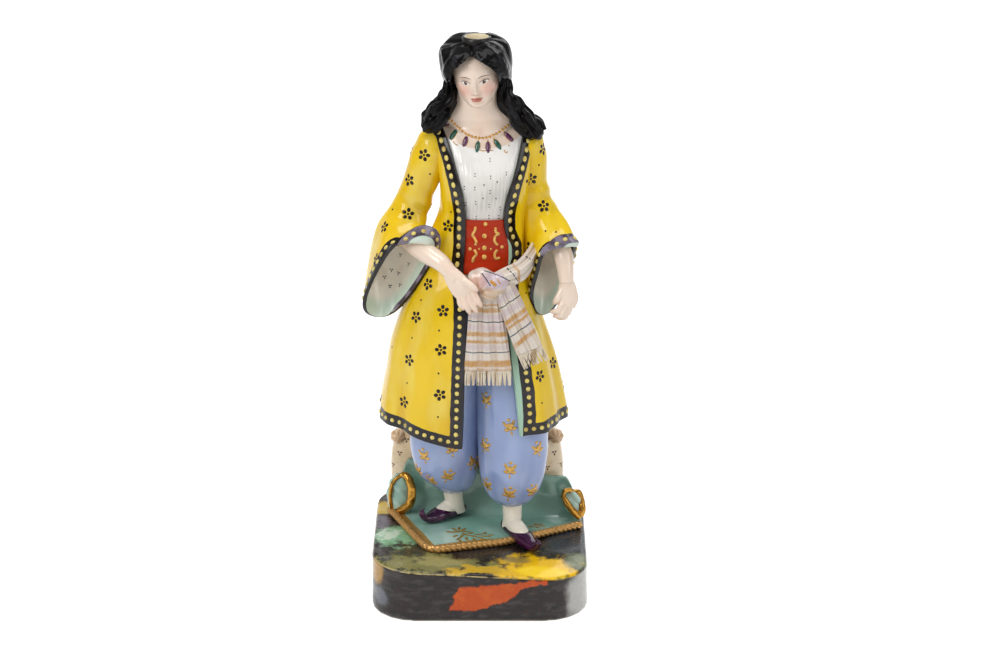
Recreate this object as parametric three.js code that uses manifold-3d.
// A porcelain lady in a long yellow coat, standing on a painted plinth before a seat cushion.
// She is a scent bottle: the mouth is in the crown of her hair, the throat runs down through her
// head and neck, and the vessel is inside her bodice. Each piece here is one that the potter casts
// in its own mould, or rolls or cuts by hand, and then lutes to its neighbours with slip.
// Millimetres, +Z up. She faces -Y, and right and left are hers. Z = 0 is the plinth's foot.
import * as THREE from "three";
import { mergeVertices } from "three/addons/utils/BufferGeometryUtils.js";
import Module from "manifold-3d";

const wasm = await Module();
wasm.setup();

// The joint of slip between two pieces, and the thickness under which a leftover of a cut is a sliver
const seatGap = 0.3;
const sliver = 0.05;

// Plinth
const plinthWidth = 92;
const plinthDepth = 92;
const plinthHeight = 21.5;
const plinthFall = 5;
const plinthRoll = 1.6;

// Levels above the middle of the plinth's top
const cuffLevel = 15.5;
const hemLevel = 51;
const scarfEndLevel = 75;
const hipLevel = 101;
const waistLevel = 130;
const sashTopLevel = 144.5;
const bustLevel = 160;
const shoulderLevel = 181;
const headLevel = 205.4;
const crownLevel = 219.2;

// Coat and sleeves
const hemWidth = 80;
const hemDepth = 52;
const waistWidth = 36;
const waistDepth = 26;
const shoulderWidth = 40;
const coatWall = 1.8;
const skirtFold = 1.1;
const skirtFolds = 9;
const sleeveRadius = 7.6;
const sleeveWall = 1.6;
const rightBellLength = 50;
const rightBellWidth = 21;
const leftBellLength = 34;
const leftBellWidth = 20;

// Trousers, legs and slippers
const trouserWidth = 29;
const ankleWidth = 8.8;
const slipperWidth = 8.6;
const toeCurl = 5.5;

// Head, neck and hair
const headWidth = 20;
const headDepth = 23.6;
const headHeight = 24;
const headPitch = 11;
const headRoll = -6;
const headYaw = -5;
const neckWidth = 16.4;
const hairThickness = 4.6;
const lockRadius = 3.2;
const lockTurn = 2.4;

// Bottle
const mouthBore = 9;
const rimWidth = 1.6;
const rimHeight = 0.9;
const vesselWall = 4.5;

// Arms
const wristWidth = 6.6;
const palmWidth = 9.6;
const fingerWidth = 2.7;

// Scarf
const scarfThickness = 2;
const scarfBand = 9.5;
const fringeLength = 7;
const fringeStrands = 7;

// Rug and cushion
const rugThickness = 1.8;
const rugRiseStart = 11.5;
const rugRiseEnd = 18.5;
const rugBackLevel = 22;
const rugEndFall = 7.5;
const ropeRadius = 1.5;
const giltLip = 1.9;
const cushionWidth = 76.4;
const cushionDepth = 25;
const cushionTopLevel = 46;
const knobRadius = 3.4;

const colours = {
  yellow: 0xe8c21c,
  ivory: 0xf1ece2,
  skin: 0xf0dccb,
  black: 0x16110f,
  vermilion: 0xb8401c,
  periwinkle: 0x8d9cc9,
  celadon: 0x7fb09a,
  cream: 0xd9c3a0,
  plum: 0x3c1230,
  gilt: 0xb8862f,
  earth: 0x3a3631,
  peach: 0xc98a55,
};

const glazed = (colour) => new THREE.MeshStandardMaterial({ color: colour, roughness: 0.18, metalness: 0 });
const gilded = () => new THREE.MeshStandardMaterial({ color: colours.gilt, roughness: 0.3, metalness: 0.9 });

const mix = (a, b, share) => a + (b - a) * share;
const ease = (share) => share * share * (3 - 2 * share);
const clamp01 = (x) => Math.min(1, Math.max(0, x));
const bump = (x, centre, width) => Math.exp(-(((x - centre) / width) ** 2));

// The plinth's top falls from her right to her left, and all that stands on it follows.
const ground = (x) => (-plinthFall * x) / plinthWidth;

// A ring of a loft: its centre, its two half axes, and the power of its superellipse
const ring = (centre, u, v, power = 2) => ({
  values: [...centre, ...u, ...v, power],
});

const level = (z, x, y, width, depth, power = 2) =>
  ring([x, y, z], [width / 2, 0, 0], [0, depth / 2, 0], power);

// A ring square to a direction, whose first half axis leans towards a hint
function turned(centre, direction, hint, a, b, power = 2) {
  const along = new THREE.Vector3(...direction).normalize();
  const u = new THREE.Vector3(...hint);
  u.addScaledVector(along, -u.dot(along)).normalize();
  const v = new THREE.Vector3().crossVectors(along, u);
  return ring(centre, u.multiplyScalar(a).toArray(), v.multiplyScalar(b).toArray(), power);
}

// Rings along a path of [x, y, z, a, b] points
function limb(points, hint, power = 2) {
  return points.map(([x, y, z, a, b = a], i) => {
    const before = points[Math.max(0, i - 1)];
    const after = points[Math.min(points.length - 1, i + 1)];
    const direction = [after[0] - before[0], after[1] - before[1], after[2] - before[2]];
    return turned([x, y, z], direction, hint, a, b, power);
  });
}

// A smooth curve through the rings' values, so that a few rings make a flowing form
function between(rings, share) {
  const at = share * (rings.length - 1);
  const i = Math.min(rings.length - 2, Math.floor(at));
  const t = at - i;
  const row = (k) => rings[Math.min(rings.length - 1, Math.max(0, k))].values;
  const [a, b, c, d] = [row(i - 1), row(i), row(i + 1), row(i + 2)];
  return b.map((value, k) => {
    const slopeB = (c[k] - a[k]) / 2;
    const slopeC = (d[k] - value) / 2;
    const t2 = t * t;
    const t3 = t2 * t;
    return (
      value * (2 * t3 - 3 * t2 + 1) + slopeB * (t3 - 2 * t2 + t) + c[k] * (3 * t2 - 2 * t3) + slopeC * (t3 - t2)
    );
  });
}

const superCircle = (x, power) => Math.sign(x) * Math.abs(x) ** (2 / power);

function closedGeometry(points, faces) {
  const geometry = new THREE.BufferGeometry();
  geometry.setAttribute("position", new THREE.Float32BufferAttribute(points.flat(), 3));
  geometry.setIndex(faces.flat());
  return geometry;
}

// A closed skin over rings, with a flat face at each end
function loft(rings, { sides = 20, steps = 14, warp = null } = {}) {
  const points = [];
  const faces = [];
  for (let i = 0; i <= steps; i++) {
    const [x, y, z, ux, uy, uz, vx, vy, vz, power] = between(rings, i / steps);
    for (let j = 0; j < sides; j++) {
      const angle = (2 * Math.PI * j) / sides;
      const c = superCircle(Math.cos(angle), power);
      const s = superCircle(Math.sin(angle), power);
      const point = [x + ux * c + vx * s, y + uy * c + vy * s, z + uz * c + vz * s];
      points.push(warp ? warp(point, angle, i / steps, [x, y, z]) : point);
    }
  }
  for (let i = 0; i < steps; i++)
    for (let j = 0; j < sides; j++) {
      const k = (j + 1) % sides;
      const [a, b, c, d] = [i * sides + j, i * sides + k, (i + 1) * sides + k, (i + 1) * sides + j];
      faces.push([a, b, c], [a, c, d]);
    }
  for (const [start, flip] of [
    [0, true],
    [steps * sides, false],
  ]) {
    const middle = [0, 1, 2].map(
      (k) => points.slice(start, start + sides).reduce((sum, p) => sum + p[k], 0) / sides,
    );
    points.push(middle);
    for (let j = 0; j < sides; j++) {
      const [a, b] = [start + j, start + ((j + 1) % sides)];
      faces.push(flip ? [b, a, points.length - 1] : [a, b, points.length - 1]);
    }
  }
  return closedGeometry(points, faces);
}

// A sheet of cloth: a surface over two shares, thickened backwards, along its own normal or, where its
// pleats are tight, straight back
function cloth(pointAt, thickness, across, along, straightBack = null) {
  const vector = (s, t) => new THREE.Vector3(...pointAt(s, t));
  const points = [];
  const small = 1e-3;
  const faces = [];
  for (const side of [0, 1])
    for (let i = 0; i <= along; i++)
      for (let j = 0; j <= across; j++) {
        const [s, t] = [j / across, i / along];
        const overS = vector(s + small, t).sub(vector(s - small, t));
        const overT = vector(s, t + small).sub(vector(s, t - small));
        const normal = straightBack
          ? new THREE.Vector3(...straightBack).negate()
          : overS.cross(overT).normalize();
        points.push(vector(s, t).addScaledVector(normal, -side * thickness).toArray());
      }
  const back = (across + 1) * (along + 1);
  const at = (i, j) => i * (across + 1) + j;
  const quad = (a, b, c, d) => faces.push([a, b, c], [a, c, d]);
  for (let i = 0; i < along; i++)
    for (let j = 0; j < across; j++) {
      const [a, b, c, d] = [at(i, j), at(i, j + 1), at(i + 1, j + 1), at(i + 1, j)];
      quad(a, b, c, d);
      quad(back + d, back + c, back + b, back + a);
    }
  for (let j = 0; j < across; j++) {
    quad(at(0, j + 1), at(0, j), back + at(0, j), back + at(0, j + 1));
    quad(at(along, j), at(along, j + 1), back + at(along, j + 1), back + at(along, j));
  }
  for (let i = 0; i < along; i++) {
    quad(at(i, 0), at(i + 1, 0), back + at(i + 1, 0), back + at(i, 0));
    quad(at(i + 1, across), at(i, across), back + at(i, across), back + at(i + 1, across));
  }
  return closedGeometry(points, faces);
}

// A flat outline in X and Z, made into a cutter that runs from one Y to another
function frontCutter(outline, fromY, toY) {
  const shape = new THREE.Shape(outline.map(([x, z]) => new THREE.Vector2(x, z)));
  const geometry = new THREE.ExtrudeGeometry(shape, { depth: toY - fromY, bevelEnabled: false });
  return geometry.rotateX(Math.PI / 2).translate(0, toY, 0);
}

// A geometry's skin moved out by a distance, or in where it is negative
function offset(geometry, by) {
  const bare = geometry.clone();
  bare.deleteAttribute("normal");
  bare.deleteAttribute("uv");
  const merged = mergeVertices(bare, 1e-4);
  merged.computeVertexNormals();
  const position = merged.attributes.position;
  const normal = merged.attributes.normal;
  for (let i = 0; i < position.count; i++)
    position.setXYZ(
      i,
      position.getX(i) + normal.getX(i) * by,
      position.getY(i) + normal.getY(i) * by,
      position.getZ(i) + normal.getZ(i) * by,
    );
  return merged;
}

function manifoldOf(geometry) {
  const mesh = new wasm.Mesh({
    numProp: 3,
    vertProperties: new Float32Array(geometry.attributes.position.array),
    triVerts: new Uint32Array(geometry.index.array),
  });
  return new wasm.Manifold(mesh);
}

// A solid with its own skin moved out and in by the seat gap, so that what is cut by it stands clear
class Form {
  constructor(solid, grown, shrunk) {
    Object.assign(this, { solid, grown, shrunk });
  }
  static of(geometry) {
    return new Form(...[0, seatGap, -seatGap].map((by) => manifoldOf(offset(geometry, by))));
  }
  join(...others) {
    return others.reduce(
      (a, b) => new Form(a.solid.add(b.solid), a.grown.add(b.grown), a.shrunk.add(b.shrunk)),
      this,
    );
  }
  // Gives way to its neighbours and leaves the seat gap
  seatOn(...neighbours) {
    return neighbours.reduce(
      (a, b) =>
        new Form(a.solid.subtract(b.grown), a.grown.subtract(b.solid), a.shrunk.subtract(b.grown)),
      this,
    );
  }
  // Loses a space outright
  hollow(...spaces) {
    return spaces.reduce(
      (a, b) =>
        new Form(a.solid.subtract(b.solid), a.grown.subtract(b.shrunk), a.shrunk.subtract(b.grown)),
      this,
    );
  }
  within(region) {
    return new Form(
      this.solid.intersect(region.solid),
      this.grown.intersect(region.grown),
      this.shrunk.intersect(region.shrunk),
    );
  }
}

const model = new THREE.Group();
model.position.z = plinthHeight;

// Adds a named mesh. Crumbs and slivers that the cuts leave are dropped.
function addPiece(name, form, material) {
  const tidied = form.solid.asOriginal().simplify(sliver);
  const body = tidied.decompose().sort((a, b) => b.volume() - a.volume())[0];
  const { vertProperties, triVerts } = body.getMesh();
  const geometry = new THREE.BufferGeometry();
  geometry.setAttribute("position", new THREE.BufferAttribute(new Float32Array(vertProperties), 3));
  geometry.setIndex(new THREE.BufferAttribute(new Uint32Array(triVerts), 1));
  geometry.computeVertexNormals();
  const mesh = new THREE.Mesh(geometry, material);
  mesh.name = name;
  model.add(mesh);
}

// Plinth: a rounded square block whose top slopes
function makePlinth() {
  const cornerPower = 5.5;
  const rim = (z, inset) => level(z, 0, 0, plinthWidth - 2 * inset, plinthDepth - 2 * inset, cornerPower);
  const slope = ([x, y, z], angle, share) => [x, y, z + ground(x) * share];
  const block = loft(
    [rim(-plinthHeight, 0.8), rim(-plinthHeight + 1.2, 0), rim(-plinthRoll, 0), rim(-0.4, 0.5), rim(0, plinthRoll)],
    { sides: 40, steps: 4, warp: slope },
  );
  return Form.of(block);
}

// Rug: it lies askew on the plinth, one corner towards the viewer, and rises against the cushion.
const rugRight = [8 - plinthWidth / 2, 13.5];
const rugLeft = [plinthWidth / 2 - 1.4, 10.4];
const rugEdge = [rugRight, [-20.6, -25.6], [11, -12.4], rugLeft];

function rugFrontEdge(x) {
  const i = Math.max(1, rugEdge.findIndex(([cornerX], k) => k > 0 && x <= cornerX + sliver));
  const [from, to] = [rugEdge[i - 1], rugEdge[i]];
  return mix(from[1], to[1], (x - from[0]) / (to[0] - from[0]));
}

const rugTop = (x) => ground(x) + seatGap + rugThickness;

function makeRug() {
  const flatShare = 0.55;
  const surface = (s, t) => {
    const x = mix(rugRight[0], rugLeft[0], s);
    const front = Math.min(rugFrontEdge(x), rugRiseStart - 1);
    if (t < flatShare) return [x, mix(front, rugRiseStart, t / flatShare), rugTop(x)];
    const turn = ((t - flatShare) / (1 - flatShare)) * (Math.PI / 2);
    const fromEnd = Math.min(x - rugRight[0], rugLeft[0] - x);
    const rise = (rugBackLevel - 0.13 * x - rugTop(x)) * mix(0.3, 1, ease(clamp01(fromEnd / rugEndFall)));
    return [
      x,
      mix(rugRiseStart, rugRiseEnd, Math.sin(turn)),
      rugTop(x) + rise * (1 - Math.cos(turn)),
    ];
  };
  return Form.of(cloth(surface, rugThickness, 14, 8));
}

// The rope that edges the rug
function makeRope() {
  const stand = ropeRadius + seatGap;
  const [right, front, middle, left] = rugEdge;
  const corners = [
    [right[0] - stand, right[1] + 1],
    [front[0] - 0.6 * stand, front[1] - stand],
    [middle[0] + 0.5 * stand, middle[1] - stand],
    [left[0], left[1] - 1.3 * stand],
  ];
  const points = [corners[0]];
  corners.slice(1).forEach((corner, i) => {
    for (let k = 1; k <= 4; k++) points.push([0, 1].map((n) => mix(corners[i][n], corner[n], k / 4)));
  });
  const path = points.map(([x, y]) => [x, y, ground(x) + seatGap + ropeRadius, ropeRadius]);
  return Form.of(loft(limb(path, [0, 0, 1]), { sides: 8, steps: 22 }));
}

// A turned-up corner of the rug: a curled leaf of cloth with a thick gilt lip
function makeRugEar([cornerX, cornerY], lips, leafPath) {
  const atCorner = ([x, y, z, ...radii]) => [cornerX + x, cornerY + y, ground(cornerX) + z, ...radii];
  const leaf = Form.of(loft(limb(leafPath.map(atCorner), [0, 1, 0]), { sides: 8, steps: 6 }));
  return leaf.join(
    ...lips.map((path) => Form.of(loft(limb(path.map(atCorner), [0, -1, 0]), { sides: 6, steps: 9 }))),
  );
}

function makeRightEar() {
  const lip = [
    [0.8, -2.3, 1.5, 1.5],
    [3.7, -4.1, 3.5, giltLip],
    [7, -4.5, 6.5, giltLip + 0.1],
    [8.1, -4.1, 10.9, giltLip + 0.1],
    [7.6, -3.3, 15.5, giltLip],
    [6, -1.9, 18.5, giltLip - 0.2],
    [3.4, -0.7, 19.1, 1.2],
  ];
  const leaf = [
    [0.5, -0.3, 1.3, 2.4, 2.2],
    [1.6, 0.1, 4.9, 2.6, 4.6],
    [2, 0.3, 9.9, 2.4, 5],
    [2.2, 0.1, 14.9, 2.2, 4],
    [3, -0.3, 18.7, 1.6, 2],
  ];
  return makeRugEar(rugRight, [lip], leaf);
}

function makeLeftEar() {
  const lip = [
    [-1, 0.2, 3.8, 1.4],
    [-4, -0.8, 7.4, giltLip - 0.3],
    [-6.6, -0.8, 11.2, giltLip - 0.4],
    [-8.4, 0.4, 14.4, 1.2],
  ];
  const otherLip = [
    [-0.6, 0.8, 4, 1.4],
    [0.2, 1.6, 7.6, giltLip - 0.3],
    [-0.2, 3, 11, giltLip - 0.4],
    [-1.8, 3.6, 14.4, giltLip - 0.3],
    [-3.8, 3.2, 15, 1],
  ];
  const leaf = [
    [-1.6, 2.6, 3.8, 2, 2],
    [-3, 3, 7.4, 2, 4],
    [-4, 3.2, 11.4, 1.8, 4.6],
    [-5, 3.4, 14.8, 1.4, 2.6],
  ];
  return makeRugEar(rugLeft, [lip, otherLip], leaf);
}

// Seat cushion, plump between its pinched corners
const cushionMiddle = [-1.4, 32.3];

function makeCushion() {
  const [x, y] = cushionMiddle;
  const row = (z, wide, deep, power) => level(z, x, y, cushionWidth * wide, cushionDepth * deep, power);
  const rows = [
    row(mix(0, cushionTopLevel, -0.02), 0.86, 0.8, 5),
    row(mix(0, cushionTopLevel, 0.12), 0.98, 0.97, 4.4),
    row(mix(0, cushionTopLevel, 0.45), 1, 1, 4),
    row(mix(0, cushionTopLevel, 0.72), 0.94, 0.96, 3.8),
    row(mix(0, cushionTopLevel, 0.9), 0.8, 0.82, 3.4),
    row(cushionTopLevel, 0.5, 0.5, 3),
  ];
  const follow = ([px, py, pz], angle, share) => [px, py, pz + (1 - share) * (ground(px) + seatGap + 1.2)];
  return Form.of(loft(rows, { sides: 24, steps: 8, warp: follow }));
}

function makeKnob(side) {
  const x = cushionMiddle[0] + side * (cushionWidth / 2 - knobRadius);
  const y = cushionMiddle[1] - cushionDepth / 2 + 4.5;
  const ball = new THREE.SphereGeometry(knobRadius, 10, 6).rotateX(Math.PI / 2);
  return Form.of(ball.translate(x, y, cushionTopLevel * 0.75));
}

// Legs: her right foot points out to her right, her left foot steps forward off the rug.
const legs = {
  right: {
    heel: [-8.6, 12.6],
    ball: [-20, 2.2],
    toeDrop: 0,
    ankle: [-11.2, 9.2],
    sole: rugTop(-14) + seatGap,
    cuff: [-12.2, 8.2],
    knee: [-16, 6.5],
    cuffRise: 1,
  },
  left: {
    heel: [11.8, -0.6],
    ball: [20.8, -16.4],
    toeDrop: 2.2,
    ankle: [14, -3.6],
    sole: rugTop(16) + seatGap,
    cuff: [13.9, -1.8],
    knee: [15, 0],
    cuffRise: -1,
  },
};

function makeFoot({ heel, ball, toeDrop, ankle, sole, cuff, cuffRise }) {
  const r = ankleWidth / 2;
  const top = cuffLevel + cuffRise;
  const shin = loft(
    [
      level(sole + 1.8, mix(ankle[0], heel[0], 0.3), mix(ankle[1], heel[1], 0.3), 1.9 * r, 1.9 * r),
      level(sole + 6, ...ankle, 1.9 * r, 1.95 * r),
      level(mix(sole, top, 0.75), mix(ankle[0], cuff[0], 0.5), mix(ankle[1], cuff[1], 0.5), 1.95 * r, 2 * r),
      level(top + 4, ...cuff, 2.15 * r, 2.15 * r),
    ],
    { sides: 10, steps: 5 },
  );
  const instep = loft(
    limb(
      [
        [...heel, sole + 3, 2.6],
        [mix(heel[0], ball[0], 0.35), mix(heel[1], ball[1], 0.35), sole + 4.4, 3.7, 3.8],
        [mix(heel[0], ball[0], 0.75), mix(heel[1], ball[1], 0.75), sole + 3.5 - 0.75 * toeDrop, 2.7, 3.4],
        [...ball, sole + 2.4 - toeDrop, 1.4, 2],
      ],
      [0, 0, 1],
    ),
    { sides: 8, steps: 6 },
  );
  return Form.of(shin).join(Form.of(instep));
}

// Slipper: a low shell with a pointed toe that curls up
function makeSlipper({ heel, ball, toeDrop, sole }, foot) {
  const r = slipperWidth / 2;
  const along = (share, rise, a, b) => [
    mix(heel[0], ball[0], share),
    mix(heel[1], ball[1], share),
    sole + rise - share * toeDrop,
    a,
    b,
  ];
  const shell = loft(
    limb(
      [
        along(-0.1, 2.2, 1.8, 2.4),
        along(0.05, 2.4, 2.4, 0.84 * r),
        along(0.4, 2.6, 2.6, 0.9 * r),
        along(0.8, 2.8, 2.8, r),
        along(1.12, 2.4, 2.3, 0.72 * r),
        along(1.36, 2.8 + 0.15 * toeCurl, 1.4, 1.6),
        along(1.46, 2.8 + 0.7 * toeCurl, 1, 1.1),
        along(1.44, 2.8 + toeCurl, 0.5, 0.5),
      ],
      [0, 0, 1],
      2.3,
    ),
    { sides: 10, steps: 11 },
  );
  const throat = new THREE.SphereGeometry(1, 9, 6).rotateX(Math.PI / 2).scale(8, 3.1, 2.6);
  throat.rotateZ(Math.atan2(ball[1] - heel[1], ball[0] - heel[0]));
  throat.translate(mix(heel[0], ball[0], 0.3), mix(heel[1], ball[1], 0.3), sole + 5.6);
  return Form.of(shell).hollow(Form.of(throat)).seatOn(foot);
}

// One leg of the full trousers, gathered at the ankle
function makeTrouserLeg({ cuff, knee, cuffRise }, side) {
  const bottom = cuffLevel + cuffRise;
  const w = trouserWidth;
  const top = blouseBottom - seatGap;
  const at = (share) => mix(bottom, top, share);
  const rows = [
    level(bottom, ...cuff, 0.42 * w, 0.4 * w),
    level(at(0.025), ...cuff, 0.62 * w, 0.6 * w),
    level(at(0.07), mix(cuff[0], knee[0], 0.5), mix(cuff[1], knee[1], 0.4), 0.81 * w, 0.77 * w),
    level(at(0.14), mix(cuff[0], knee[0], 0.8), mix(cuff[1], knee[1], 0.7), 0.93 * w, 0.9 * w),
    level(at(0.25), ...knee, w, 0.96 * w),
    level(at(0.4), mix(knee[0], side * 8, 0.12), mix(knee[1], 3, 0.2), w, w),
    level(at(0.6), mix(knee[0], side * 8, 0.45), mix(knee[1], 3, 0.5), 0.95 * w, 1.02 * w),
    level(at(0.8), side * 8.6, 3, 0.85 * w, 1.0 * w),
    level(top, side * 7, 3, 0.7 * w, 0.85 * w),
  ];
  const gathers = ([x, y, z], angle, share, [cx, cy]) => {
    const depth = 1 - 0.035 * Math.cos(11 * angle) * Math.exp(-((share / 0.14) ** 2));
    return [cx + (x - cx) * depth, cy + (y - cy) * depth, z];
  };
  return Form.of(loft(rows, { sides: 18, steps: 11, warp: gathers }));
}

// The rows that the coat and the blouse share, each drawn in by its own wall
const bodyRow = (z, x, y, width, depth, wall) => level(z, x, y, width - 2 * wall, depth - 2 * wall, 2.2);
const blouseBottom = mix(hipLevel, waistLevel, 0.6);

function torsoRows(wall) {
  const [w, d, s] = [waistWidth, waistDepth, shoulderWidth];
  return [
    bodyRow(blouseBottom, -1.5, 2.8, 1.28 * w, 1.35 * d, wall),
    bodyRow(mix(blouseBottom, waistLevel, 0.5), 0, 2.4, 1.14 * w, 1.17 * d, wall),
    bodyRow(waistLevel, 1.2, 2, 1.01 * w, 1.03 * d, wall),
    bodyRow(sashTopLevel, 1.8, 2, 0.99 * w, d, wall),
    bodyRow(mix(sashTopLevel, bustLevel, 0.5), 2.2, 1.4, 1.04 * w, 1.12 * d, wall),
    bodyRow(bustLevel, 2.3, 1.2, 0.96 * s, 1.17 * d, wall),
    bodyRow(mix(bustLevel, shoulderLevel, 0.4), 2.2, 2.4, 1.03 * s, 1.04 * d, wall),
    bodyRow(mix(bustLevel, shoulderLevel, 0.72), 1.8, 3.2, 1.08 * s, 0.86 * d, wall),
    bodyRow(mix(bustLevel, shoulderLevel, 0.97), 1.5, 3.8, 1.03 * s, 0.68 * d, wall),
    bodyRow(shoulderLevel + 3.5 - 0.8 * wall, 1.4, 4, 0.62 * s, 0.56 * d, Math.min(wall, 2)),
  ];
}

const blouseWall = coatWall + seatGap;

// The coat is faceted twice as finely as what it covers, at the same levels, so it stays clear of it.
const torsoSides = 18;
const makeTorso = (wall) => {
  const rows = torsoRows(wall);
  return Form.of(loft(rows, { sides: torsoSides, steps: rows.length - 1 }));
};

// How far forward the torso stands at a place, with its wall drawn in
function torsoFront(x, z, wall) {
  const rows = torsoRows(wall);
  let [low, high] = [0, 1];
  for (let i = 0; i < 20; i++) {
    const middle = (low + high) / 2;
    if (between(rows, middle)[2] < z) low = middle;
    else high = middle;
  }
  const [cx, cy, , rx, , , , ry, , power] = between(rows, low);
  const across = clamp01(Math.abs(x - cx) / rx);
  return cy - ry * (1 - across ** power) ** (1 / power);
}

// Neck: it rises out of the chest and carries the head.
function makeNeck() {
  const w = neckWidth;
  return Form.of(
    loft(
      [
        level(shoulderLevel - 8, 1.6, 2.4, 1.22 * w, 0.88 * w),
        level(shoulderLevel - 1, 1.4, 2.4, 1.22 * w, 0.9 * w),
        level(shoulderLevel + 3, 1, 2.2, 1.2 * w, 0.9 * w),
        level(shoulderLevel + 7.5, 0.4, 1.8, 1.08 * w, 0.9 * w),
        level(headLevel - 7, -0.6, 1.2, w, 0.93 * w),
      ],
      { sides: 16, steps: 6 },
    ),
  );
}

// All of the chest that the blouse leaves bare: what lies above its low neckline
function makeNeckline() {
  const edge = new THREE.SplineCurve(
    [
      [25, 9],
      [20, 0.5],
      [12, -5],
      [2, -6.6],
      [-7, -5.4],
      [-16, -1],
      [-24, 9],
    ].map(([x, z]) => new THREE.Vector2(x, shoulderLevel + z)),
  );
  return Form.of(frontCutter(edge.getPoints(12).map(({ x, y }) => [x, y]), -30, 30));
}

// The head's own frame: its origin is midway between the ears.
const headCentre = [-0.9, -0.4, headLevel];
const headTurn = new THREE.Matrix4()
  .makeRotationFromEuler(
    new THREE.Euler(
      THREE.MathUtils.degToRad(headPitch),
      THREE.MathUtils.degToRad(headRoll),
      THREE.MathUtils.degToRad(headYaw),
      "ZYX",
    ),
  )
  .setPosition(...headCentre);

function makeHead() {
  const [w, d, h] = [headWidth, headDepth, headHeight / 2];
  const rows = [
    level(-h, 0, -0.26 * d, 0.22 * w, 0.2 * d),
    level(-0.9 * h, 0, -0.2 * d, 0.5 * w, 0.46 * d),
    level(-0.64 * h, 0, -0.1 * d, 0.76 * w, 0.74 * d),
    level(-0.3 * h, 0, -0.02 * d, 0.92 * w, 0.9 * d),
    level(0.08 * h, 0, 0.03 * d, w, 0.98 * d),
    level(0.44 * h, 0, 0.055 * d, 0.99 * w, d),
    level(0.76 * h, 0, 0.07 * d, 0.82 * w, 0.86 * d),
    level(0.94 * h, 0, 0.08 * d, 0.5 * w, 0.54 * d),
    level(h, 0, 0.08 * d, 0.16 * w, 0.18 * d),
  ];
  const features = ([x, y, z]) => {
    const front = y < 0 ? 1 : 0;
    const nose = 2.5 * bump(x, 0, 1.5) * bump(z, -0.2 * h, 0.16 * h);
    const bridge = 1.1 * bump(x, 0, 1.4) * bump(z, 0.02 * h, 0.2 * h);
    const lips = 0.7 * bump(x, 0, 2.6) * bump(z, -0.5 * h, 0.09 * h);
    const chin = 0.8 * bump(x, 0, 3) * bump(z, -0.82 * h, 0.12 * h);
    const sockets = 0.9 * (bump(x, -3.9, 2.2) + bump(x, 3.9, 2.2)) * bump(z, 0.05 * h, 0.14 * h);
    return [x, y - front * (nose + bridge + lips + chin - sockets), z];
  };
  return Form.of(loft(rows, { sides: 20, steps: 16, warp: features }).applyMatrix4(headTurn));
}

// Hair: a parted mass round the face, with the bottle's rim standing in its crown
function makeHairMass() {
  const [w, d, h, t] = [headWidth, headDepth, headHeight / 2, hairThickness];
  const row = (z, y, wide, deep, extra = t) => level(z, 0, y, wide * w + 2 * extra, deep * d + 2 * extra, 2.2);
  const rows = [
    row(-h - t, 0.3 * d, 0.3, 0.16, 0.7 * t),
    row(-h, 0.3 * d, 0.6, 0.3, 0.9 * t),
    row(-0.44 * h, 0.19 * d, 0.88, 0.62),
    row(0, 0.1 * d, 1.0, 0.86),
    row(0.44 * h, 0.07 * d, 1.0, 0.94),
    row(0.84 * h, 0.07 * d, 0.84, 0.8),
    row(h + 0.3 * t, 0.08 * d, 0.48, 0.5, 0.8 * t),
    row(h + 0.52 * t, 0.085 * d, 0.24, 0.26, 0.8 * t),
  ];
  const waves = ([x, y, z], angle, share, [cx, cy]) => {
    const swell = 1 + 0.03 * Math.cos(9 * angle + 7 * share) - 0.05 * bump(x, 0, 1.6) * (y < 0 ? 1 : 0);
    return [cx + (x - cx) * swell, cy + (y - cy) * swell, z];
  };
  return Form.of(loft(rows, { sides: 20, steps: 9, warp: waves }).applyMatrix4(headTurn));
}

// The opening that the hair leaves for the face: two sweeps from the parting to the jaw
function makeFaceOpening() {
  const [w, h] = [headWidth / 2, headHeight / 2];
  const outline = new THREE.Shape();
  outline.moveTo(0, 0.97 * h);
  outline.bezierCurveTo(-0.44 * w, 0.8 * h, -0.9 * w, 0.6 * h, -0.96 * w, 0.1 * h);
  outline.bezierCurveTo(-0.96 * w, -0.4 * h, -0.86 * w, -0.8 * h, -0.8 * w, -1.6 * h);
  outline.lineTo(0.8 * w, -1.6 * h);
  outline.bezierCurveTo(0.86 * w, -0.8 * h, 0.96 * w, -0.4 * h, 0.96 * w, 0.1 * h);
  outline.bezierCurveTo(0.9 * w, 0.6 * h, 0.44 * w, 0.8 * h, 0, 0.97 * h);
  const flat = outline.getPoints(4).map(({ x, y }) => [x, y]);
  return Form.of(frontCutter(flat.slice(0, -1), -40, -0.08 * headDepth).applyMatrix4(headTurn));
}

// The bore in the crown, the throat and the vessel, on one upright axis
const boreAxis = [-0.85, 1.8];

function makeRim() {
  const [x, y] = boreAxis;
  const outer = mouthBore + 2 * rimWidth;
  const top = crownLevel + rimHeight;
  return Form.of(
    loft(
      [
        level(crownLevel - 5, x, y, outer + 2.5, outer + 2.5),
        level(crownLevel, x, y, outer + 0.4, outer + 0.4),
        level(top - 0.7, x, y, outer, outer),
        level(top, x, y, outer - 1, outer - 1),
      ],
      { sides: 16, steps: 4 },
    ),
  );
}

function makeThroat() {
  const [x, y] = boreAxis;
  const row = (z) => level(z, x, y, mouthBore, mouthBore);
  return Form.of(
    loft([row(shoulderLevel - 14), row(shoulderLevel + 10), row(headLevel), row(crownLevel + rimHeight + 4)], {
      sides: 16,
      steps: 1,
    }),
  );
}

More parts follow.
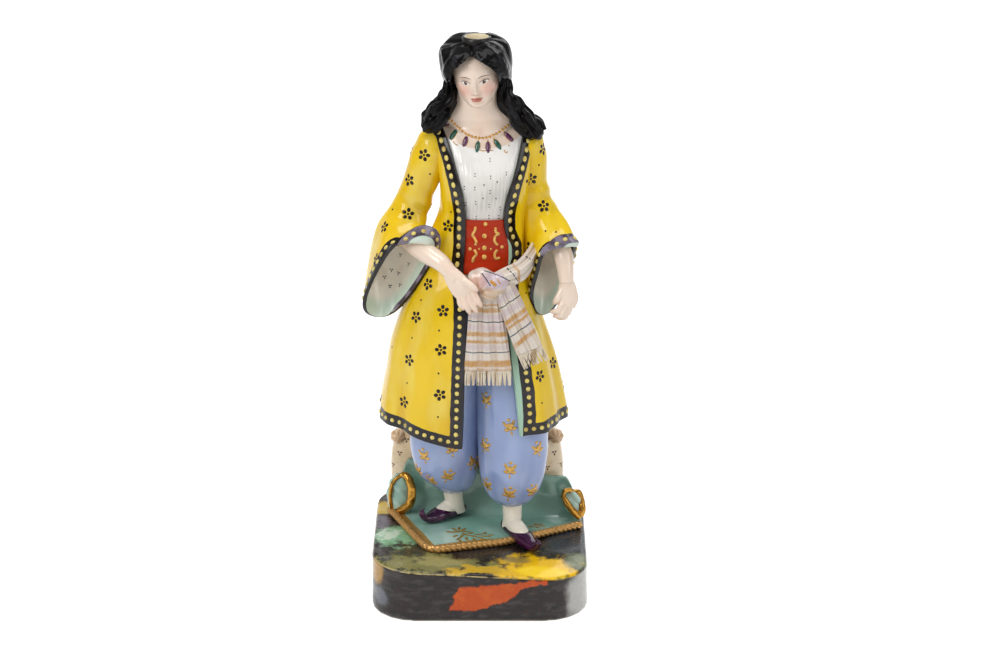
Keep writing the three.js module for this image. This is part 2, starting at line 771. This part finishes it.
function makeVessel() {
  const floor = waistLevel - 3;
  const top = shoulderLevel - 11;
  const wall = vesselWall + blouseWall;
  const [w, d] = [waistWidth - 2 * wall, waistDepth - 2 * wall];
  return Form.of(
    loft(
      [
        level(floor, 1.2, 2.2, 0.7 * w, 0.7 * d),
        level(floor + 3, 1.2, 2.2, w, d),
        level(mix(floor, top, 0.6), 1, 2.2, w, d),
        level(top - 6, 0, 2.6, w, d),
        level(top, boreAxis[0], boreAxis[1], mouthBore, mouthBore),
      ],
      { sides: 12, steps: 6 },
    ),
  );
}

// A lock of hair on the shoulder: three strands that wind round one another
function makeLock(path) {
  const curve = new THREE.CatmullRomCurve3(path.map(([x, y, z]) => new THREE.Vector3(x, y, z)));
  const strands = [0, 1, 2].map((k) => {
    const points = [];
    for (let i = 0; i <= 9; i++) {
      const share = i / 9;
      const centre = curve.getPoint(share);
      const direction = curve.getTangent(share);
      const out = new THREE.Vector3(0, 1, 0).cross(direction).normalize();
      const up = new THREE.Vector3().crossVectors(direction, out);
      const angle = 2 * Math.PI * (k / 3 + 0.85 * share);
      const taper = Math.sin(Math.PI * mix(0.13, 0.93, share));
      centre.addScaledVector(out, lockTurn * taper * Math.cos(angle));
      centre.addScaledVector(up, lockTurn * taper * Math.sin(angle));
      points.push([...centre.toArray(), lockRadius * (0.25 + 0.75 * taper)]);
    }
    return Form.of(loft(limb(points, [0, 1, 0.1]), { sides: 6, steps: 9 }));
  });
  return strands[0].join(strands[1], strands[2]);
}

const shoulderDrop = shoulderLevel - 181;
const fromShoulder = (points) => points.map(([x, y, z, ...rest]) => [x, y, z + shoulderDrop, ...rest]);

const makeRightLocks = () =>
  makeLock(
    fromShoulder([
      [-10.8, 3.2, 203.5],
      [-12.2, -0.5, 199],
      [-14.3, -2.8, 194.9],
      [-16.8, -3.6, 190.8],
      [-19.7, -3.4, 186.6],
      [-22.6, -2.6, 182],
    ]),
  );

const makeLeftLocks = () =>
  makeLock(
    fromShoulder([
      [9.8, 3.2, 203.5],
      [11.4, -0.5, 199],
      [13, -2.8, 194.9],
      [15.4, -3.6, 190.8],
      [18.6, -3.6, 186.8],
      [22.4, -3, 183.2],
      [25.6, -2.2, 180],
    ]),
  );

// Necklace: a fine chain round the neck's foot, with long drops that lie on the chest
function makeNecklace() {
  const half = 12.4;
  const stand = seatGap + 0.45;
  const onChest = (x, z) => torsoFront(x, Math.min(z, shoulderLevel - 1), blouseWall) - stand;
  const at = (share) => {
    const x = mix(-half, half, share) + 0.6;
    const z = shoulderLevel + mix(-3.6, 2.4, ((x - 0.6) / half) ** 2);
    return [x, onChest(x, z), z];
  };
  const chain = [];
  for (let i = 0; i <= 10; i++) chain.push([...at(i / 10), 0.55]);
  const parts = [Form.of(loft(limb(chain, [0, 0, 1]), { sides: 4, steps: 12 }))];
  const drops = 8;
  for (let i = 0; i < drops; i++) {
    const [x, , z] = at((i + 0.5) / drops);
    const drop = [
      [0, 0.25],
      [1.5, 0.85],
      [3.2, 0.95],
      [5, 0.3],
    ].map(([down, r]) => {
      const across = x * (1 + 0.035 * down);
      return [across, onChest(across, z - down) - 0.3, z + 0.2 - down, r];
    });
    parts.push(Form.of(loft(limb(drop, [1, 0, 0]), { sides: 4, steps: 3 })));
  }
  return parts[0].join(...parts.slice(1));
}

// Coat: a flared skirt and a fitted body in one shell, open down the front
const hemCentre = [-3.3, 4];

function coatRows(wall) {
  const rise = (share) => mix(hemLevel, hipLevel, share);
  const [hx, hy] = hemCentre;
  const [w, d] = [hemWidth, hemDepth];
  const skirt = [
    bodyRow(hemLevel, hx, hy, w, d, wall),
    bodyRow(rise(0.1), hx, hy, 0.99 * w, 0.995 * d, wall),
    bodyRow(rise(0.4), hx, hy, 0.935 * w, 0.96 * d, wall),
    bodyRow(rise(0.7), hx - 0.6, hy, 0.865 * w, 0.91 * d, wall),
    bodyRow(hipLevel, hx - 0.6, hy - 0.5, 0.75 * w, 0.83 * d, wall),
    bodyRow(mix(hipLevel, waistLevel, 0.35), -2.6, 3.2, 0.655 * w, 0.76 * d, wall),
  ];
  return [...skirt, ...torsoRows(wall)];
}

// The skirt's folds, deepest at the hem, and the corner of the right front that hangs lowest
function coatWarp([x, y, z], angle, share, [cx, cy]) {
  const low = clamp01((hipLevel + 12 - z) / (hipLevel + 12 - hemLevel));
  const swell = skirtFold * low * Math.cos(skirtFolds * angle);
  const radius = Math.hypot(x - cx, y - cy);
  const scale = 1 + swell / radius;
  const droop = 4.6 * bump(x, -9, 14) * (y < cy ? 1 : 0) - 3.4 * bump(angle, Math.PI, 0.9) - 1.5 * bump(x, 38, 14);
  return [cx + (x - cx) * scale, cy + (y - cy) * scale, z - droop * ease(low) * ease(low)];
}

// The front opening: up one edge, over the shoulders, and down the other
function makeCoatOpening() {
  const s = shoulderLevel;
  const upperBust = mix(sashTopLevel, bustLevel, 0.5);
  const edge = (points, count) =>
    new THREE.SplineCurve(points.map(([x, z]) => new THREE.Vector2(x, z)))
      .getPoints(count)
      .map(({ x, y }) => [x, y]);
  const rightEdge = edge(
    [
      [-7.8, hemLevel - 16],
      [-6.6, mix(hemLevel, hipLevel, 0.5)],
      [-5.3, hipLevel + 6],
      [-6.6, waistLevel - 8],
      [-5.7, sashTopLevel - 6],
      [-6.4, upperBust],
      [-12.4, s - 6],
      [-17.4, s + 6],
    ],
    21,
  );
  const leftEdge = edge(
    [
      [19.9, s + 6],
      [16.2, bustLevel + 8],
      [11.2, upperBust - 1],
      [10.6, sashTopLevel - 3],
      [12.8, waistLevel + 2],
      [12.2, hipLevel + 10],
      [17.2, mix(hemLevel, hipLevel, 0.65)],
      [18, mix(hemLevel, hipLevel, 0.35)],
      [19.8, hemLevel - 16],
    ],
    24,
  );
  return Form.of(frontCutter([...rightEdge, ...leftEdge], -60, 2));
}

function makeCoat() {
  const below = bodyRow(hemLevel - 16, ...hemCentre, hemWidth, hemDepth, coatWall);
  const skin = (rows) => Form.of(loft(rows, { sides: 2 * torsoSides, steps: rows.length - 1, warp: coatWarp }));
  return skin(coatRows(0)).hollow(skin([below, ...coatRows(coatWall)]), makeCoatOpening());
}

// Bell sleeves: closed round the upper arm, hollow below the elbow
function makeSleeve({ rings, inner, opening }) {
  const outside = Form.of(loft(rings, { sides: 16, steps: 9 }));
  const inside = Form.of(loft([...inner, opening], { sides: 16, steps: 3 }));
  return outside.hollow(inside);
}

function sleeveShape({ arm, hints, mouth, normal, longAxis, length, width }) {
  const inset = (a) => a - sleeveWall;
  const rings = arm.map(([x, y, z, a, b], i) => {
    const before = arm[Math.max(0, i - 1)];
    const after = arm[i + 1] ?? [...mouth];
    const direction = [after[0] - before[0], after[1] - before[1], after[2] - before[2]];
    return { centre: [x, y, z + shoulderDrop], direction, hint: hints[i], a, b };
  });
  rings.push({
    centre: [mouth[0], mouth[1], mouth[2] + shoulderDrop],
    direction: normal,
    hint: longAxis,
    a: length / 2,
    b: width / 2,
  });
  const make = (r, shrink) => turned(r.centre, r.direction, r.hint, shrink(r.a), shrink(r.b), 2.1);
  const last = rings.at(-1);
  const beyond = last.centre.map((value, k) => value + 4 * normal[k]);
  return {
    rings: rings.map((r) => make(r, (a) => a)),
    inner: rings.slice(-3).map((r) => make(r, inset)),
    opening: turned(beyond, normal, longAxis, inset(last.a) + 1.5, inset(last.b) + 1.5, 2.1),
  };
}

const rightSleeveShape = () => {
  const r = sleeveRadius;
  return sleeveShape({
    arm: [
      [-12, 4.6, 177, 0.5 * r, 0.66 * r],
      [-18, 4.3, 173.8, 1.02 * r, r],
      [-21.4, 4, 165.8, 1.08 * r, 1.05 * r],
      [-25, 4.4, 156, r, r],
      [-28.6, 4.4, 146, 1.06 * r, 1.04 * r],
      [-32, 2.2, 137.5, 1.5 * r, 1.16 * r],
      [-32.8, -3, 129.5, 2.2 * r, 1.34 * r],
    ],
    hints: [
      [-0.3, 0, 1],
      [-1, 0, 1],
      [-1, 0, 0.6],
      [-1, 0, 0.4],
      [-1, 0.1, -0.1],
      [-1, 0.3, -0.8],
      [-0.9, 0.35, -1.3],
    ],
    mouth: [-32.2, -9.6, 121.4],
    normal: [0.35, -0.8, -0.45],
    longAxis: [-12, 4, -18],
    length: rightBellLength,
    width: rightBellWidth,
  });
};

const leftSleeveShape = () => {
  const r = sleeveRadius;
  return sleeveShape({
    arm: [
      [14, 4.6, 177, 0.5 * r, 0.66 * r],
      [19.4, 4.3, 173.8, 1.02 * r, r],
      [20.8, 4.6, 166, 1.02 * r, r],
      [21.8, 5, 156, 0.94 * r, 0.94 * r],
      [24.2, 4.6, 146, 1.02 * r, r],
      [27.8, 2.4, 137, 1.3 * r, 1.1 * r],
      [30.4, -2, 129, 1.8 * r, 1.24 * r],
    ],
    hints: [
      [-0.3, 0, -1],
      [-1, 0, -0.8],
      [-1, 0, -0.4],
      [-1, 0, -0.3],
      [-0.9, 0, -0.5],
      [-0.7, 0.2, -0.9],
      [-0.5, 0.3, -1.3],
    ],
    mouth: [31.2, -7, 120.4],
    normal: [-0.3, -0.9, -0.3],
    longAxis: [-5.5, 3, -14],
    length: leftBellLength,
    width: leftBellWidth,
  });
};

// A hand: a palm and five fingers, each a tapering form
function makeHand(armPath, palmPath, fingers) {
  const arm = Form.of(loft(limb(armPath, [0, 0, 1]), { sides: 10, steps: 6 }));
  const palm = Form.of(loft(limb(palmPath, [0, 1, 0.2]), { sides: 8, steps: 4 }));
  const digits = fingers.map((points) =>
    Form.of(loft(limb(points, [0, 1, 0.1]), { sides: 5, steps: 4 })),
  );
  return arm.join(palm, ...digits);
}

// A finger from its knuckle to its tip, bent at the middle joint
function finger(knuckle, bend, tip, size = 1) {
  const r = (fingerWidth / 2) * size;
  const middle = knuckle.map((value, k) => mix(value, bend[k], 0.5));
  const last = bend.map((value, k) => mix(value, tip[k], 0.55));
  return [
    [...knuckle, 0.85 * r],
    [...middle, r],
    [...bend, 0.98 * r],
    [...last, 0.86 * r],
    [...tip, 0.36 * r],
  ].map(([x, y, z, a]) => [x, y, z + shoulderDrop, a]);
}

function makeRightArm() {
  const [w, p] = [wristWidth / 2, palmWidth / 2];
  const arm = fromShoulder([
    [-31.5, 2, 137, 1.3 * w],
    [-27.8, -6, 134.2, 1.4 * w],
    [-22, -12.2, 131.4, 1.34 * w],
    [-16, -17.4, 129, 1.14 * w],
    [-12.4, -19.8, 126, 0.94 * w],
    [-9.6, -21.2, 122.6, 0.8 * w],
  ]);
  const palm = fromShoulder([
    [-13, -19.4, 126.6, 0.42 * p, 0.62 * p],
    [-10.4, -21, 123.4, 0.44 * p, 0.86 * p],
    [-7.6, -21.8, 119.6, 0.44 * p, p],
    [-5.4, -22, 116.6, 0.36 * p, 0.92 * p],
  ]);
  return makeHand(arm, palm, [
    finger([-8.6, -21.8, 117.4], [-7.8, -23, 113], [-6.4, -22.8, 109.8], 0.92),
    finger([-6.6, -22, 116.8], [-5.2, -23.6, 112], [-3.6, -23.4, 108.2]),
    finger([-4.4, -22.2, 117.4], [-2.6, -24, 112.6], [-0.8, -23.8, 109]),
    finger([-2.8, -22.2, 119], [-0.6, -24, 114.6], [1.2, -23.9, 111.6], 0.94),
    finger([-6.4, -23, 123.4], [-2.8, -24.6, 121], [-0.4, -24.6, 118.6], 1.04),
  ]);
}

function makeLeftArm() {
  const [w, p] = [wristWidth / 2, palmWidth / 2];
  const arm = fromShoulder([
    [34, 2, 139, 1.2 * w],
    [36, -3, 134, 1.3 * w],
    [37.2, -7.4, 128.4, 1.24 * w],
    [37.6, -10.2, 122.6, 1.06 * w],
    [37.8, -11.4, 118.4, 0.94 * w],
  ]);
  const palm = fromShoulder([
    [37.8, -11.2, 119.6, 0.42 * p, 0.6 * p],
    [38, -11.8, 116, 0.44 * p, 0.82 * p],
    [38, -12, 112, 0.44 * p, 0.94 * p],
    [37, -12.2, 108.8, 0.36 * p, 0.82 * p],
  ]);
  return makeHand(arm, palm, [
    finger([39.6, -11.2, 109.6], [38.2, -10.6, 105.4], [34.6, -10.2, 103.6], 0.92),
    finger([38.4, -12.4, 109], [36.6, -12.2, 104.4], [32.8, -11.4, 103.4]),
    finger([36.8, -13.2, 109.4], [34.6, -13.4, 105.2], [31, -12.6, 104.4]),
    finger([35.6, -13.6, 110.8], [33.2, -14, 107.2], [29.8, -13.2, 106.2], 0.94),
    finger([35.4, -12.4, 116], [33.4, -13.4, 112.6], [31.4, -13.4, 109.6], 1.02),
  ]);
}

// Sash: a broad band round the waist, which shows where the coat is open
function makeSash() {
  const stand = 1;
  const bottom = mix(blouseBottom, waistLevel, 0.6);
  const region = loft([level(bottom, 0, 0, 90, 90, 4), level(sashTopLevel, 0, 0, 90, 90, 4)], {
    sides: 8,
    steps: 1,
  });
  return makeTorso(blouseWall - seatGap - stand).within(Form.of(region));
}

// Scarf: it comes round her left hip, is knotted in front, and hangs in two fringed tails.
const knotCentre = [4.4, -19.2, waistLevel - 9.2];

function makeScarfWrap() {
  const half = scarfBand / 2;
  const [kx, ky, kz] = knotCentre;
  const path = [
    [13, 16.5, waistLevel + 2, 0.5 * half, 0.9],
    [19.4, 12, waistLevel + 1.6, 0.8 * half, 1.4],
    [23, 3, waistLevel - 0.4, 0.9 * half, 1.9],
    [20.8, -7.6, waistLevel - 3, half, 2.6],
    [17.2, -14, waistLevel - 5.6, 0.95 * half, 2.8],
    [11.8, -17.8, waistLevel - 7.2, 0.86 * half, 2.9],
    [kx + 2, ky, kz + 0.6, 0.66 * half, 2.6],
  ];
  const folds = (point, angle, share, centre) => {
    const groove = 1 - 0.13 * Math.cos(5 * angle + 3 * share);
    return point.map((value, k) => centre[k] + (value - centre[k]) * groove);
  };
  return Form.of(loft(limb(path, [0.2, 0, 1]), { sides: 12, steps: 13, warp: folds }));
}

function makeKnot() {
  const [x, y, z] = knotCentre;
  const lobe = (dx, dz, wide, tall, lean) =>
    Form.of(
      new THREE.SphereGeometry(1, 10, 7)
        .scale(wide, 4.6, tall)
        .rotateY(lean)
        .translate(x + dx, y, z + dz),
    );
  return lobe(-2, 0.6, 6.2, 4.8, 0.3).join(lobe(2.8, -0.8, 5.6, 4.2, -0.5), lobe(0, -4, 4.4, 3.8, 0));
}

// A tail of the scarf, widening as it hangs, with soft pleats
function makeTail({ top, bottom, topWidth, bottomWidth, lean, pleats, depth }) {
  const surface = (s, t) => {
    const across = (s - 0.5) * mix(bottomWidth, topWidth, t);
    const turn = lean * (1 - 0.35 * t);
    const pleat = depth * Math.cos(2 * Math.PI * pleats * s) * mix(0.7, 1, t);
    return [
      mix(bottom[0], top[0], t) + across * Math.cos(turn),
      mix(bottom[1], top[1], t) + pleat + 0.16 * Math.abs(across) * t,
      mix(bottom[2], top[2], t) + across * Math.sin(turn),
    ];
  };
  return Form.of(cloth(surface, scarfThickness, 9, 5, [0, 1, 0]));
}

const centreTail = {
  top: [2.6, -20.4, knotCentre[2] - 1],
  bottom: [3.6, -20, scarfEndLevel + fringeLength],
  topWidth: 12,
  bottomWidth: 20,
  lean: 0,
  pleats: 3,
  depth: 0.45,
};

const sideTail = {
  top: [9.4, -21.4, knotCentre[2] - 1.4],
  bottom: [21, -21.4, scarfEndLevel + 16.4],
  topWidth: 8,
  bottomWidth: 11.6,
  lean: 0.42,
  pleats: 2,
  depth: 0.4,
};

// A fringe: strands side by side under the tail's end, joined along their heads
function makeFringe({ bottom, bottomWidth, lean }, length, strands) {
  const [x, y, z] = bottom;
  const at = (across, down) => [
    x + across * Math.cos(lean) + down * Math.sin(lean),
    y + scarfThickness / 2,
    z + across * Math.sin(lean) - down * Math.cos(lean),
  ];
  const half = bottomWidth / 2;
  const head = [-1, -0.33, 0.33, 1].map((k) => [...at(k * (half - 0.6), seatGap + 0.7), 0.7, 0.8]);
  const parts = [Form.of(loft(limb(head, [0, 0, 1]), { sides: 5, steps: 3 }))];
  for (let i = 0; i < strands; i++) {
    const across = ((i + 0.5) / strands - 0.5) * bottomWidth;
    const wide = (0.62 * bottomWidth) / strands;
    const strand = [
      [...at(across, seatGap + 0.5), wide, 0.7],
      [...at(across * 1.01, length * 0.5), wide * 0.92, 0.8],
      [...at(across * 1.03, length), wide * 0.6, 0.5],
    ];
    parts.push(Form.of(loft(limb(strand, [1, 0, 0]), { sides: 5, steps: 2 })));
  }
  return parts[0].join(...parts.slice(1));
}

// The pieces, each cut to clear those that it is luted to
const throat = makeThroat();
const plinth = makePlinth();

const rightFoot = makeFoot(legs.right);
const leftFoot = makeFoot(legs.left);
const rightSlipper = makeSlipper(legs.right, rightFoot);
const leftSlipper = makeSlipper(legs.left, leftFoot);
const shod = [rightFoot, leftFoot, rightSlipper, leftSlipper];
const leftLeg = makeTrouserLeg(legs.left, 1).seatOn(...shod);
const rightLeg = makeTrouserLeg(legs.right, -1).seatOn(...shod, leftLeg);
const rug = makeRug().seatOn(plinth, leftLeg, rightLeg, ...shod);
const rope = makeRope().seatOn(plinth, rug, ...shod);

const torso = makeTorso(blouseWall);
const neckline = makeNeckline();
const neck = makeNeck();
const bust = torso.within(neckline).join(neck).hollow(throat);
const blouse = torso.seatOn(bust, neckline, leftLeg, rightLeg).hollow(makeVessel(), throat);
const coat = makeCoat().seatOn(neck);
const sash = makeSash().seatOn(torso, coat);

const head = makeHead().seatOn(bust).hollow(throat);
const hair = makeHairMass().join(makeRim()).hollow(makeFaceOpening(), throat).seatOn(head, bust, coat);

const rightArm = makeRightArm().seatOn(coat);
const leftArm = makeLeftArm().seatOn(coat);
const rightSleeve = makeSleeve(rightSleeveShape()).seatOn(coat, bust, blouse, rightArm);
const leftSleeve = makeSleeve(leftSleeveShape()).seatOn(coat, bust, blouse, leftArm);
const dressed = [coat, bust, blouse, head, hair, rightSleeve, leftSleeve];
const rightLocks = makeRightLocks().seatOn(...dressed);
const leftLocks = makeLeftLocks().seatOn(...dressed);
const necklace = makeNecklace().seatOn(bust, blouse, coat, rightSleeve, leftSleeve, rightLocks, leftLocks);

const wrap = makeScarfWrap().seatOn(coat, blouse, leftSleeve, rightArm, leftArm);
const knot = makeKnot().seatOn(coat, rightArm, wrap, sash, blouse);
const behindScarf = [coat, leftLeg, rightLeg, knot, wrap, rightArm];
const frontTail = makeTail(centreTail).seatOn(...behindScarf);
const hipTail = makeTail(sideTail).seatOn(...behindScarf, frontTail);
const frontFringe = makeFringe(centreTail, fringeLength, fringeStrands).seatOn(coat, leftLeg, rightLeg, frontTail);
const hipFringe = makeFringe(sideTail, fringeLength, fringeStrands - 2).seatOn(coat, hipTail, frontTail);

const cushion = makeCushion().seatOn(plinth, rug, leftLeg, rightLeg, coat, ...shod);
const knobs = [-1, 1].map((side) => makeKnob(side).seatOn(cushion, coat));
const rightEar = makeRightEar().seatOn(plinth, rug, rope, cushion, rightLeg);
const leftEar = makeLeftEar().seatOn(plinth, rug, rope, cushion);

addPiece("plinth", plinth, glazed(colours.earth));
addPiece("rug", rug, glazed(colours.celadon));
addPiece("rug_rope_edge", rope, gilded());
addPiece("rug_corner_right", rightEar, glazed(colours.celadon));
addPiece("rug_corner_left", leftEar, glazed(colours.celadon));
addPiece("seat_cushion", cushion, glazed(colours.cream));
addPiece("cushion_knob_right", knobs[0], glazed(colours.peach));
addPiece("cushion_knob_left", knobs[1], glazed(colours.peach));
addPiece("right_foot", rightFoot, glazed(colours.ivory));
addPiece("left_foot", leftFoot, glazed(colours.ivory));
addPiece("right_slipper", rightSlipper, glazed(colours.plum));
addPiece("left_slipper", leftSlipper, glazed(colours.plum));
addPiece("right_trouser_leg", rightLeg, glazed(colours.periwinkle));
addPiece("left_trouser_leg", leftLeg, glazed(colours.periwinkle));
addPiece("blouse", blouse, glazed(colours.ivory));
addPiece("waist_sash", sash, glazed(colours.vermilion));
addPiece("bust", bust, glazed(colours.skin));
addPiece("head", head, glazed(colours.skin));
addPiece("hair_and_mouth_rim", hair, glazed(colours.black));
addPiece("hair_locks_right", rightLocks, glazed(colours.black));
addPiece("hair_locks_left", leftLocks, glazed(colours.black));
addPiece("necklace", necklace, gilded());
addPiece("coat", coat, glazed(colours.yellow));
addPiece("right_sleeve", rightSleeve, glazed(colours.yellow));
addPiece("left_sleeve", leftSleeve, glazed(colours.yellow));
addPiece("right_forearm", rightArm, glazed(colours.skin));
addPiece("left_forearm", leftArm, glazed(colours.skin));
addPiece("scarf_wrap", wrap, glazed(colours.ivory));
addPiece("scarf_knot", knot, glazed(colours.ivory));
addPiece("scarf_tail_centre", frontTail, glazed(colours.ivory));
addPiece("scarf_tail_side", hipTail, glazed(colours.ivory));
addPiece("scarf_fringe_centre", frontFringe, glazed(colours.ivory));
addPiece("scarf_fringe_side", hipFringe, glazed(colours.ivory));

export default model;
